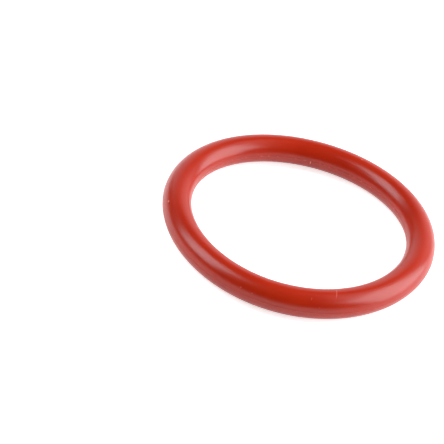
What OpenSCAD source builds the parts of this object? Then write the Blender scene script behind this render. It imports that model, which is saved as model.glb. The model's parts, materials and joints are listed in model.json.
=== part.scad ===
/* [Ring] */
// Inside diameter of the round section, across the hole
inside_d = 40.64; // [25:0.01:80]
// Diameter of the round section
section_d = 5.33; // [3.5:0.01:7]

/* [Parting line] */
// Thickness of the trimmed flash left where the two mould halves met
flash_t = 0.2; // [0.1:0.05:0.4]
// Height that the trimmed flash keeps above the round section
flash_h = 0.06; // [0.02:0.01:0.15]

/* [Hidden] */
$fn = 128;
// Radius of the circle on which the centre of the section lies
centre_r = (inside_d + section_d) / 2;

// One cut through the moulding: the round section, with the flash proud of it
// at the inside and at the outside of the ring
module moulded_section() {
    circle(d = section_d);
    square([section_d + 2 * flash_h, flash_t], center = true);
}

// The whole ring, lying flat, with its centre at the origin and its axis along Z
module o_ring() {
    color("firebrick")
        rotate_extrude()
            translate([centre_r, 0])
                moulded_section();
}

o_ring();
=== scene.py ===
import json
from math import atan2, cos, pi, radians, sin

import bmesh
import bpy
from mathutils import Matrix, Vector, noise


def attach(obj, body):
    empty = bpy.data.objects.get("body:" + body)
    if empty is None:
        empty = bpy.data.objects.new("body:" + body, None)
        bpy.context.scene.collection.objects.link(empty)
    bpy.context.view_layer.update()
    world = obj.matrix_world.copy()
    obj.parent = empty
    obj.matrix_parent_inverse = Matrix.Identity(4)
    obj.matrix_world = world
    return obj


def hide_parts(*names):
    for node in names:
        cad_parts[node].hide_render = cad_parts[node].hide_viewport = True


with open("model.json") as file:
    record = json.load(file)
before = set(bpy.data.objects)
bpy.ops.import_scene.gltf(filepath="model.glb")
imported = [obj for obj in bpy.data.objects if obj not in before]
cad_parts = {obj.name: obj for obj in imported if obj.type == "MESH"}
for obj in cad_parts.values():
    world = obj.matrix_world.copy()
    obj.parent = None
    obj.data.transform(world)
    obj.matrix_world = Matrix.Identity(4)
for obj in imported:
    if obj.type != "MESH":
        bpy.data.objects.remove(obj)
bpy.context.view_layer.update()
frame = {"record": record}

mm = 0.001
mergeDistance = 0.0001 * mm  # points closer than this are one point

# sizes of the moulding, from the seats in the frame
seats = {mount["name"]: mount["dims"] for mount in frame["record"]["mounts"]}
insideRadius = seats["inside_seat"]["r_mm"] * mm
outsideRadius = seats["outside_seat"]["r_mm"] * mm
flashThickness = seats["inside_seat"]["length_mm"] * mm
flashHeight = 0.06 * mm
centreRadius = (insideRadius + outsideRadius) / 2
sectionRadius = outsideRadius - centreRadius - flashHeight
print("frame loaded")


# shader maths as plain expressions: a Socket is one output of a node

class Socket:
    def __init__(self, output):
        self.output = output
        self.tree = output.id_data

    def other(self, name):  # another output of the same node
        return Socket(self.output.node.outputs[name])

    def node(self, kind, settings, inputs, output=0):
        return addNode(self.tree, kind, settings, inputs, output)

    def math(self, operation, *values):
        return self.node("Math", {"operation": operation}, dict(enumerate(values)))

    def vector(self, operation, *values, output=0):
        return self.node("VectorMath", {"operation": operation}, dict(enumerate(values)), output)

    def ramp(self, low, high, start=0, end=1):  # smooth step from one value to another
        settings = {"interpolation_type": "SMOOTHSTEP"}
        return self.node("MapRange", settings, {0: self, 1: low, 2: high, 3: start, 4: end})

    def over(self, under, colour):  # a colour laid over another, with this socket as the mask
        return self.node("Mix", {"data_type": "RGBA"}, {0: self, 6: under, 7: colour}, 2)

    def __add__(self, other):
        return self.math("ADD", self, other)

    def __sub__(self, other):
        return self.math("SUBTRACT", self, other)

    def __rsub__(self, other):
        return self.math("SUBTRACT", other, self)

    def __mul__(self, other):
        return self.math("MULTIPLY", self, other)

    __radd__ = __add__
    __rmul__ = __mul__


def addNode(tree, kind, settings, inputs, output=0):
    made = tree.nodes.new("ShaderNode" + kind)
    for name, value in settings.items():
        setattr(made, name, value)
    for name, value in inputs.items():
        if isinstance(value, Socket):
            tree.links.new(value.output, made.inputs[name])
        else:
            made.inputs[name].default_value = value
    return Socket(made.outputs[output]) if made.outputs else made


def newMaterial(name):
    material = bpy.data.materials.new(name)
    material.use_nodes = True
    material.node_tree.nodes.clear()
    return material, material.node_tree


# the ring

ring = {
    "stepsRound": 560,      # faces along the ring
    "stepsSection": 96,     # faces round the section
    "flashRows": (0.5, 0.43, 0.36, 0.26),  # rows of edges on the flash, as shares of its width
    "flashSlope": 0.2,      # width of its worn flanks, as a share of its width
    "trimLow": 0.05,        # lowest and highest flash after trimming, as shares of its full height
    "trimHigh": 0.65,
    "trimGrain": 0.9 * mm,  # length of the nicks that trimming leaves
    # how far the soft ring lies out of round: waves round it, height and the angle of a crest
    "outOfRound": [(2, 0.09 * mm, -37.5), (3, 0.215 * mm, 30.3)],
}


def sectionSpun(ring):
    bm = bmesh.new()
    place = Matrix.Translation((centreRadius, 0, 0)) @ Matrix.Rotation(pi / 2, 4, "X")
    bmesh.ops.create_circle(bm, segments=ring["stepsSection"], radius=sectionRadius, matrix=place)
    bmesh.ops.spin(bm, geom=bm.verts[:] + bm.edges[:], cent=(0, 0, 0), axis=(0, 0, 1),
                   angle=2 * pi, steps=ring["stepsRound"], use_merge=True)
    bmesh.ops.remove_doubles(bm, verts=bm.verts, dist=mergeDistance)
    bmesh.ops.recalc_face_normals(bm, faces=bm.faces)
    return bm


def drawFlash(bm, ring):
    for row in ring["flashRows"]:
        for side in (-1, 1):
            bmesh.ops.bisect_plane(bm, geom=bm.verts[:] + bm.edges[:] + bm.faces[:],
                                   dist=mergeDistance, plane_no=(0, 0, 1),
                                   plane_co=(0, 0, side * row * flashThickness))
    for vert in bm.verts:
        inFromEdge = 0.5 - abs(vert.co.z) / flashThickness
        if inFromEdge > 0:
            side = 1 if vert.co.xy.length > centreRadius else -1
            place = Vector((vert.co.x, vert.co.y, side)) / ring["trimGrain"]
            nick = 0.5 + 0.5 * noise.noise(place)  # from 0 to 1
            trimmed = ring["trimLow"] + (ring["trimHigh"] - ring["trimLow"]) * nick
            flank = sin(pi / 2 * min(1, inFromEdge / ring["flashSlope"]))
            vert.co.xy += vert.co.xy.normalized() * side * flashHeight * trimmed * flank


def relax(bm, ring):
    moulded = bm.verts.layers.float_vector.new("moulded")  # where each point was in the mould
    for vert in bm.verts:
        vert[moulded] = vert.co
        around = atan2(vert.co.y, vert.co.x)
        shift = sum(height * cos(waves * (around - radians(crest)))
                    for waves, height, crest in ring["outOfRound"])
        vert.co += Vector((cos(around), sin(around), 0)) * shift


def makeRing(ring):
    bm = sectionSpun(ring)
    drawFlash(bm, ring)
    relax(bm, ring)
    print("ring: open edges", sum(not edge.is_manifold for edge in bm.edges))
    mesh = bpy.data.meshes.new("o_ring_skin")
    bm.to_mesh(mesh)
    bm.free()
    mesh.polygons.foreach_set("use_smooth", [True] * len(mesh.polygons))
    piece = bpy.data.objects.new("o_ring_skin", mesh)
    bpy.context.collection.objects.link(piece)
    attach(piece, "root")
    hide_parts("o_ring")
    return piece


oRing = makeRing(ring)
print("ring made")

# silicone

silicone = {
    "colour": (0.562, 0.0215, 0.001, 1),
    "deepColour": (0.532, 0.0185, 0.0005, 1),
    "roughness": 0.295,
    "ior": 1.5,
    "cloud": 7 * mm,            # size of the faint clouds in the colour
    "cloudEdge": (0.35, 0.65),  # noise at which a cloud begins and is full
    "cloudRoughness": 0.06,
    "grain": 0.35 * mm,         # size of the satin grain that the mould leaves
    "grainHeight": 0.0012 * mm,
    "grainRoughness": 0.04,
    "toolPitch": 0.8 * mm,      # spacing of the turning marks that the mould leaves, along the ring
    "toolHeight": 0.003 * mm,
}

specksAndGlints = {
    # pale colour of the specks and dust, also laid on the torn flash, where it paints the parting
    # line's glints: painted highlight
    "paleColour": (0.92, 0.24, 0.19, 1),
    "darkColour": (0.12, 0.006, 0.002, 1),
    "roughness": 0.3,           # how much duller a speck is than the skin
    "edge": (0.6, 1.4),         # a mark fades out between these shares of its half size
    # along the ring and round the section in degrees, length and width in mm, turn in degrees, strength
    "pale": [
        (194.8, 43.5, 0.44, 0.28, 0, 1.0),
        (254.1, 25.5, 0.30, 0.24, 0, 0.33),
        (259.2, 21.7, 0.28, 0.12, 60, 0.38),
        (267.8, -19.5, 0.24, 0.16, 0, 0.18),
        (282.9, 56.3, 0.12, 0.50, -8, 0.33),
        (286.4, 24.7, 0.18, 0.14, 0, 0.22),
        (67.5, 87.7, 0.26, 0.20, 0, 1.0),
        (50.1, 84.7, 0.22, 0.16, 0, 0.9),
        (92, -175, 0.20, 0.90, 0, 1.0),
        (294.3, 88, 0.10, 2.2, -16, 0.75),
    ],
    "dark": [
        (196.4, 45.0, 0.30, 0.22, 0, 0.9),
    ],
    "dustPitch": 1.2 * mm,      # spacing of the cells that may hold a grain of dust
    "dustSize": 0.09 * mm,      # radius of the largest grain
    "dustShare": 0.1,           # share of the cells that hold one
    "dustEdge": 0.02,           # softness of its edge, as a share of the cell
    "dustStrength": 0.75,
    # the torn flash is paler, and this pale colour also paints the glints along the parting line,
    # stronger inside the ring than outside: painted highlight
    "tornGlintNoise": (0.5, 0.75),   # noise at which a torn place of the flash, with its painted glint, begins and is full
    "tornGlintWidth": (0.4, 0.7),    # it fades out between these shares of the flash's width from its middle
    "tornGlintInside": 0.3,          # strength of the torn places and their painted glints inside and outside the ring
    "tornGlintOutside": 0.06,
}


def speckMask(skin, specksAndGlints, shade):
    total = 0
    for around, section, length, width, turn, strength in specksAndGlints[shade]:
        around = (around + 180) % 360 - 180  # as the shader gives it
        place = (radians(around) * centreRadius, radians(section) * sectionRadius, 0)
        local = skin.node("Mapping", {"vector_type": "TEXTURE"},
                          {"Vector": skin, "Location": place, "Rotation": (0, 0, radians(turn)),
                           "Scale": (length / 2 * mm, width / 2 * mm, 1)})
        total = total + local.vector("LENGTH", local, output=1).ramp(*specksAndGlints["edge"], strength, 0)
    return total


def dustMask(moulded, specksAndGlints):
    cells = moulded.node("TexVoronoi", {}, {"Vector": moulded, "Scale": 1 / specksAndGlints["dustPitch"]})
    lot = moulded.node("SeparateColor", {}, {0: cells.other("Color")})
    size = lot.other("Green") * (specksAndGlints["dustSize"] / specksAndGlints["dustPitch"])
    holds = lot.math("LESS_THAN", lot, specksAndGlints["dustShare"])
    return (size - cells).ramp(0, specksAndGlints["dustEdge"]) * holds * specksAndGlints["dustStrength"]


def tornFlashAndGlintMask(around, outwards, height, specksAndGlints):  # the trimmed flash is a little torn and paler there, and this paler colour also paints the glints along the parting line: a painted highlight
    tearsAndGlints = around.node("TexNoise", {"noise_dimensions": "1D"},
                       {"W": around, "Scale": centreRadius / ring["trimGrain"], "Detail": 3})
    full, gone = (share * flashThickness for share in specksAndGlints["tornGlintWidth"])
    land = height.math("ABSOLUTE", height).ramp(full, gone, 1, 0)
    strength = outwards.ramp(-sectionRadius, sectionRadius, specksAndGlints["tornGlintInside"], specksAndGlints["tornGlintOutside"])
    return land * tearsAndGlints.ramp(*specksAndGlints["tornGlintNoise"]) * strength


def siliconeMaterial(silicone, specksAndGlints):
    material, tree = newMaterial("red_silicone")
    moulded = addNode(tree, "Attribute", {"attribute_name": "moulded"}, {}, "Vector")
    x = moulded.node("SeparateXYZ", {}, {0: moulded})
    y, z = x.other("Y"), x.other("Z")
    outwards = x.math("SQRT", x * x + y * y) - centreRadius
    around = x.math("ARCTAN2", y, x)
    section = x.math("ARCTAN2", z, outwards)
    skin = x.node("CombineXYZ", {}, {0: around * centreRadius, 1: section * sectionRadius})

    cloud = x.node("TexNoise", {}, {"Vector": moulded, "Scale": 1 / silicone["cloud"], "Detail": 2})
    grain = x.node("TexNoise", {}, {"Vector": moulded, "Scale": 1 / silicone["grain"], "Detail": 3})
    turning = x.node("TexNoise", {"noise_dimensions": "1D"},
                     {"W": section, "Scale": sectionRadius / silicone["toolPitch"], "Detail": 2})
    pale = speckMask(skin, specksAndGlints, "pale") + dustMask(moulded, specksAndGlints)
    # paler torn flash along the parting line, partly real and partly a painted highlight of its glints
    pale = pale + tornFlashAndGlintMask(around, outwards, z, specksAndGlints)
    pale = pale.math("MINIMUM", pale, 1)
    dark = speckMask(skin, specksAndGlints, "dark")

    colour = cloud.ramp(*silicone["cloudEdge"]).over(silicone["deepColour"], silicone["colour"])
    colour = pale.over(colour, specksAndGlints["paleColour"])
    colour = dark.over(colour, specksAndGlints["darkColour"])
    roughness = silicone["roughness"] + pale * specksAndGlints["roughness"]
    roughness = roughness + (cloud - 0.5) * silicone["cloudRoughness"]
    roughness = roughness + (grain - 0.5) * silicone["grainRoughness"]
    relief = grain * silicone["grainHeight"] + turning * silicone["toolHeight"]
    bump = x.node("Bump", {}, {"Strength": 1, "Distance": 1, "Height": relief})
    shader = x.node("BsdfPrincipled", {}, {"Base Color": colour, "Roughness": roughness,
                                           "IOR": silicone["ior"], "Normal": bump})
    x.node("OutputMaterial", {}, {"Surface": shader})
    return material


oRing.data.materials.append(siliconeMaterial(silicone, specksAndGlints))
print("silicone laid on")

# floor

stage = {
    "floorSize": 4.0,
    "floorSteps": 80,
    "level": 0.9,  # the floor is level this far out, and sweeps up beyond
    "sweep": 0.12,
    "floorColour": (0.9, 0.9, 0.9, 1),
    # glow that turns the floor white in the picture and in reflections, and lights nothing
    "glowSeen": 0.74,
    "glowMirrored": 0.64,
}


def makeFloor(stage):
    bm = bmesh.new()
    bmesh.ops.create_grid(bm, x_segments=stage["floorSteps"], y_segments=stage["floorSteps"],
                          size=stage["floorSize"] / 2,
                          matrix=Matrix.Translation((0, 0, -sectionRadius)))
    for vert in bm.verts:
        vert.co.z += stage["sweep"] * max(0, vert.co.xy.length - stage["level"]) ** 2
    mesh = bpy.data.meshes.new("floor")
    bm.to_mesh(mesh)
    bm.free()
    floor = bpy.data.objects.new("floor", mesh)
    bpy.context.collection.objects.link(floor)
    material, tree = newMaterial("white_floor")
    path = addNode(tree, "LightPath", {}, {}, "Is Camera Ray")
    mirrored = path.other("Is Glossy Ray") + path.other("Is Transmission Ray")
    strength = path * stage["glowSeen"] + mirrored * stage["glowMirrored"]
    paper = path.node("BsdfDiffuse", {}, {"Color": stage["floorColour"]})
    glow = path.node("Emission", {}, {"Strength": strength})
    path.node("OutputMaterial", {}, {"Surface": path.node("AddShader", {}, {0: paper, 1: glow})})
    mesh.materials.append(material)


makeFloor(stage)

# light

studio = {
    "distance": 0.7,
    "colour": (0.925, 1, 1.055),  # a little cool, as the highlights are
    "ambient": 0.055,
}

# angles in degrees, azimuth from straight behind the ring towards the right; metres and watts
lamps = {
    "right": {"azimuth": 82, "elevation": 27, "turn": 9, "width": 0.72, "height": 0.72, "power": 7.1},
    "left": {"azimuth": -92, "elevation": 45, "turn": 17, "width": 0.41, "height": 0.55, "power": 3.3},
    "back": {"azimuth": 0, "elevation": 18, "turn": 0, "width": 1.05, "height": 0.41, "power": 1.2},
    "top": {"azimuth": 62, "elevation": 58, "turn": 0, "width": 0.54, "height": 0.30, "power": 0.55},
}


def direction(azimuth, elevation):
    a, e = radians(azimuth), radians(elevation)
    return Vector((sin(a) * cos(e), cos(a) * cos(e), sin(e)))


def makeLamps(lamps, studio):
    for name, lamp in lamps.items():
        data = bpy.data.lights.new(name, "AREA")
        data.shape = "RECTANGLE"
        data.size = lamp["width"]
        data.size_y = lamp["height"]
        data.energy = lamp["power"]
        data.color = studio["colour"]
        light = bpy.data.objects.new(name, data)
        towards = direction(lamp["azimuth"], lamp["elevation"])
        facing = towards.to_track_quat("Z", "Y").to_matrix().to_4x4()
        turn = Matrix.Rotation(radians(lamp["turn"]), 4, "Z")
        light.matrix_world = Matrix.Translation(towards * studio["distance"]) @ facing @ turn
        light.visible_camera = False
        bpy.context.collection.objects.link(light)


def makeWorld(strength):
    world = bpy.data.worlds.new("studio")
    world.use_nodes = True
    background = world.node_tree.nodes["Background"]
    background.inputs["Color"].default_value = (1, 1, 1, 1)
    background.inputs["Strength"].default_value = strength
    bpy.context.scene.world = world


makeLamps(lamps, studio)
makeWorld(studio["ambient"])
print("lamps set")

# camera

# the camera stands in front of the ring: distance in metres, angles in degrees, lens and sensor in mm
shot = {
    "pixels": 444,               # width of the photograph
    "centre": (298.85, 221.98),  # pixel on which the ring's centre falls
    "distance": 0.3632,
    "elevation": 36.28,
    "roll": 14.45,
    "lens": 159.06,
    "sensor": 36,
    "clip": (0.01, 20),
}


def makeCamera(shot):
    data = bpy.data.cameras.new("camera")
    data.lens = shot["lens"]
    data.sensor_width = shot["sensor"]
    data.clip_start, data.clip_end = shot["clip"]
    camera = bpy.data.objects.new("camera", data)
    towards = direction(180, shot["elevation"])
    perPixel = shot["sensor"] / shot["lens"] / shot["pixels"]
    across = (shot["centre"][0] - shot["pixels"] / 2) * perPixel
    down = (shot["centre"][1] - shot["pixels"] / 2) * perPixel
    aim = Vector((0, 0, -1)).rotation_difference(Vector((across, -down, -1)))
    facing = towards.to_track_quat("Z", "Y").to_matrix()
    turned = facing @ Matrix.Rotation(radians(shot["roll"]), 3, "Z") @ aim.to_matrix().inverted()
    camera.matrix_world = Matrix.Translation(towards * shot["distance"]) @ turned.to_4x4()
    bpy.context.collection.objects.link(camera)
    bpy.context.scene.camera = camera


makeCamera(shot)
bpy.context.scene.view_settings.view_transform = "Standard"
